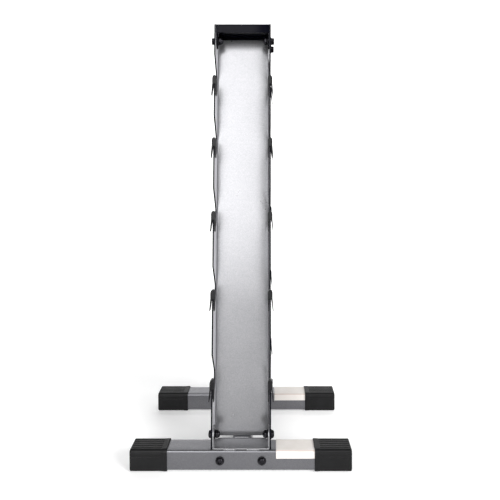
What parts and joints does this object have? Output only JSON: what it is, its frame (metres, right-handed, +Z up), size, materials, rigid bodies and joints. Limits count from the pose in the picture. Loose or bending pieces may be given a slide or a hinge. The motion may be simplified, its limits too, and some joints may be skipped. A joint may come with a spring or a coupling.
{
  "type": "dumbbell rack",
  "caption": "Free-standing A-frame dumbbell rack: two leaning legs of slotted black hook plates around silver panels, joined by a head bracket, on square tube feet.",
  "frame": {"origin": "on the floor under the middle of the rack, midway between the two feet", "axes": "+Z up, X along the two feet (left to right seen from the front leg), -Y towards the front leg, +Y towards the rear leg"},
  "size_m": [0.417, 0.2652, 0.86],
  "materials": {
    "black_powder_coat": "satin black powder coat",
    "silver_powder_coat": "satin silver metallic powder coat",
    "black_rubber": "moulded ribbed rubber",
    "black_moulded_plastic": "soft moulded plastic",
    "black_zinc_steel": "black zinc plated steel",
    "label_film": "blank warm white printed film"
  },
  "bodies": {
    "root": {"front_left_hook_plate": "black_powder_coat", "front_right_hook_plate": "black_powder_coat", "rear_left_hook_plate": "black_powder_coat", "rear_right_hook_plate": "black_powder_coat", "head_bracket": "black_powder_coat", "front_panel": "silver_powder_coat", "rear_panel": "silver_powder_coat", "front_foot_tube": "silver_powder_coat", "rear_foot_tube": "silver_powder_coat", "front_foot_bracket": "silver_powder_coat", "rear_foot_bracket": "silver_powder_coat", "stretcher_tube": "silver_powder_coat", "front_stretcher_flange": "silver_powder_coat", "rear_stretcher_flange": "silver_powder_coat", "front_left_foot_cap": "black_rubber", "front_right_foot_cap": "black_rubber", "rear_left_foot_cap": "black_rubber", "rear_right_foot_cap": "black_rubber", "front_left_hook_cap_1": "black_moulded_plastic", "front_left_hook_cap_2": "black_moulded_plastic", "front_left_hook_cap_3": "black_moulded_plastic", "front_left_hook_cap_4": "black_moulded_plastic", "front_left_hook_cap_5": "black_moulded_plastic", "front_right_hook_cap_1": "black_moulded_plastic", "front_right_hook_cap_2": "black_moulded_plastic", "front_right_hook_cap_3": "black_moulded_plastic", "front_right_hook_cap_4": "black_moulded_plastic", "front_right_hook_cap_5": "black_moulded_plastic", "rear_left_hook_cap_1": "black_moulded_plastic", "rear_left_hook_cap_2": "black_moulded_plastic", "rear_left_hook_cap_3": "black_moulded_plastic", "rear_left_hook_cap_4": "black_moulded_plastic", "rear_left_hook_cap_5": "black_moulded_plastic", "rear_right_hook_cap_1": "black_moulded_plastic", "rear_right_hook_cap_2": "black_moulded_plastic", "rear_right_hook_cap_3": "black_moulded_plastic", "rear_right_hook_cap_4": "black_moulded_plastic", "rear_right_hook_cap_5": "black_moulded_plastic", "head_bolts": "black_zinc_steel", "head_washers": "black_zinc_steel", "head_nuts": "black_zinc_steel", "leg_bolts": "black_zinc_steel", "leg_washers": "black_zinc_steel", "leg_nuts": "black_zinc_steel", "stretcher_bolts": "black_zinc_steel", "stretcher_washers": "black_zinc_steel", "stretcher_nuts": "black_zinc_steel", "front_foot_label": "label_film", "rear_foot_label": "label_film"}
  },
  "joints": []
}
